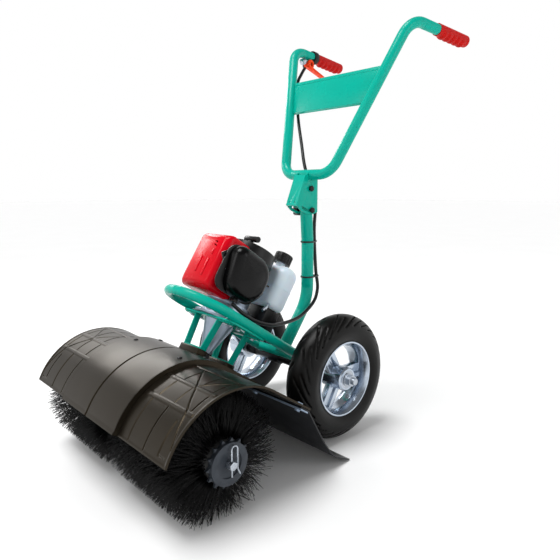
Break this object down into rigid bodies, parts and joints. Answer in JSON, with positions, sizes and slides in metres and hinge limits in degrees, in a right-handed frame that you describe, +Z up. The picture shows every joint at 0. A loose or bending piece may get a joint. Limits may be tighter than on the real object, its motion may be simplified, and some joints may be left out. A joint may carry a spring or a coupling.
{
  "type": "power brush sweeper",
  "caption": "Walk-behind power sweeper: engine on a looped tube frame, shaft and worm drive, bristle brush under a hood, cast wheels and a tilting handlebar.",
  "frame": {"origin": "on the floor under the middle of the whole machine", "axes": "+X to the operator's left, -Y forward to the brush, +Z up"},
  "size_m": [0.57, 0.9832, 1.0027],
  "materials": {
    "teal_paint": "gloss powder coat",
    "red_grip": "matt",
    "black_plastic": "satin",
    "orange_plastic": "satin",
    "zinc_steel": "zinc plated",
    "dark_steel": "black oxide",
    "cast_alloy": "as cast and machined",
    "tyre_rubber": "matt",
    "flap_rubber": "matt",
    "hood_plastic": "moulded, satin",
    "red_plastic": "gloss",
    "tank_plastic": "translucent",
    "bronze": "machined",
    "bristle": "nylon monofilament"
  },
  "bodies": {
    "frame": {"riser_tube": "teal_paint", "frame_loop": "teal_paint", "engine_plate": "teal_paint", "hood_straps": "teal_paint", "frame_bolts": "zinc_steel", "axle_tube": "dark_steel", "axle": "zinc_steel", "axle_spacers": "dark_steel", "axle_nuts": "zinc_steel", "bracket_bolts": "zinc_steel", "clutch_housing": "cast_alloy", "drive_tube": "dark_steel", "gear_case_left": "cast_alloy", "gear_case_right": "cast_alloy", "shaft_bearings": "zinc_steel", "hood": "hood_plastic", "flap": "flap_rubber", "flap_strip": "zinc_steel", "crankcase": "cast_alloy", "recoil_housing": "black_plastic", "top_cover": "red_plastic", "air_cleaner_base": "black_plastic", "air_cleaner_cover": "black_plastic", "carburettor": "cast_alloy", "muffler": "dark_steel", "fuel_tank": "tank_plastic", "engine_stand": "black_plastic", "throttle_cable": "black_plastic", "cable_ties": "tank_plastic"},
    "handle": {"handlebar": "teal_paint", "cross_panel": "teal_paint", "grip_left": "red_grip", "grip_right": "red_grip", "throttle_clamp": "black_plastic", "throttle_screw": "zinc_steel", "handle_bracket": "teal_paint"},
    "throttle": {"throttle_lever": "orange_plastic"},
    "knob": {"lock_knob": "black_plastic"},
    "wheel_left": {"rim_left": "cast_alloy", "tyre_left": "tyre_rubber", "bearings_left": "zinc_steel"},
    "wheel_right": {"rim_right": "cast_alloy", "tyre_right": "tyre_rubber", "bearings_right": "zinc_steel"},
    "brush": {"brush_shaft": "zinc_steel", "worm_wheel": "bronze", "brush_core_left": "dark_steel", "brush_core_right": "dark_steel", "bristles_left": "bristle", "bristles_right": "bristle", "hairpins": "zinc_steel"},
    "drive": {"drive_shaft": "zinc_steel", "clutch_drum": "zinc_steel"},
    "crank": {"crankshaft": "zinc_steel", "flywheel": "zinc_steel", "clutch_shoes": "dark_steel"},
    "carb_arm": {"throttle_arm": "zinc_steel"},
    "choke": {"choke_lever": "black_plastic"},
    "cap": {"fuel_cap": "black_plastic"},
    "starter": {"starter_grip": "black_plastic"}
  },
  "joints": [
    {"name": "handle_tilt", "type": "hinge", "parent": "frame", "child": "handle", "pos_m": [0, 0.11393, 0.59203], "axis": [1, 0, 0], "range_deg": [0, 34], "deforming": ["throttle_cable"]},
    {"name": "throttle_squeeze", "type": "hinge", "parent": "handle", "child": "throttle", "pos_m": [-0.20289, 0.3247, 0.95838], "axis": [0.9962, 0.0872, 0], "range_deg": [0, 12], "stiffness_Nm_per_rad": 0.5, "springref_deg": -11.46},
    {"name": "knob_turn", "type": "hinge", "parent": "frame", "child": "knob", "pos_m": [-0.03, 0.11785, 0.53717], "axis": [1, 0, 0], "continuous": true},
    {"name": "wheel_left_spin", "type": "hinge", "parent": "frame", "child": "wheel_left", "pos_m": [0.172, 0.04807, 0.15], "axis": [1, 0, 0], "continuous": true},
    {"name": "wheel_right_spin", "type": "hinge", "parent": "frame", "child": "wheel_right", "pos_m": [-0.172, 0.04807, 0.15], "axis": [1, 0, 0], "continuous": true},
    {"name": "brush_spin", "type": "hinge", "parent": "frame", "child": "brush", "pos_m": [0, -0.34993, 0.11], "axis": [1, 0, 0], "continuous": true},
    {"name": "drive_spin", "type": "hinge", "parent": "frame", "child": "drive", "pos_m": [0, -0.15862, 0.29757], "axis": [0, 0.5519, 0.8339], "continuous": true},
    {"name": "crank_spin", "type": "hinge", "parent": "frame", "child": "crank", "pos_m": [0, -0.15862, 0.29757], "axis": [0, 0.5519, 0.8339], "continuous": true},
    {"name": "carb_arm_turn", "type": "hinge", "parent": "frame", "child": "carb_arm", "pos_m": [0.0535, -0.14052, 0.35754], "axis": [0, 0.5519, 0.8339], "range_deg": [-20, 0]},
    {"name": "choke_turn", "type": "hinge", "parent": "frame", "child": "choke", "pos_m": [0.0535, -0.08855, 0.37807], "axis": [0, 0.5519, 0.8339], "range_deg": [0, 60]},
    {"name": "cap_turn", "type": "hinge", "parent": "frame", "child": "cap", "pos_m": [0.014, 0.02181, 0.41798], "axis": [0, 0.5519, 0.8339], "continuous": true},
    {"name": "starter_pull", "type": "slide", "parent": "frame", "child": "starter", "axis": [0, 0.5519, 0.8339], "range_m": [0, 0.4], "stiffness_N_per_m": 20, "springref_m": -0.2}
  ],
  "couplings": [
    {"joint": "drive_spin", "follows": "brush_spin", "ratio": -30},
    {"joint": "carb_arm_turn", "follows": "throttle_squeeze", "ratio": -1.6667}
  ]
}
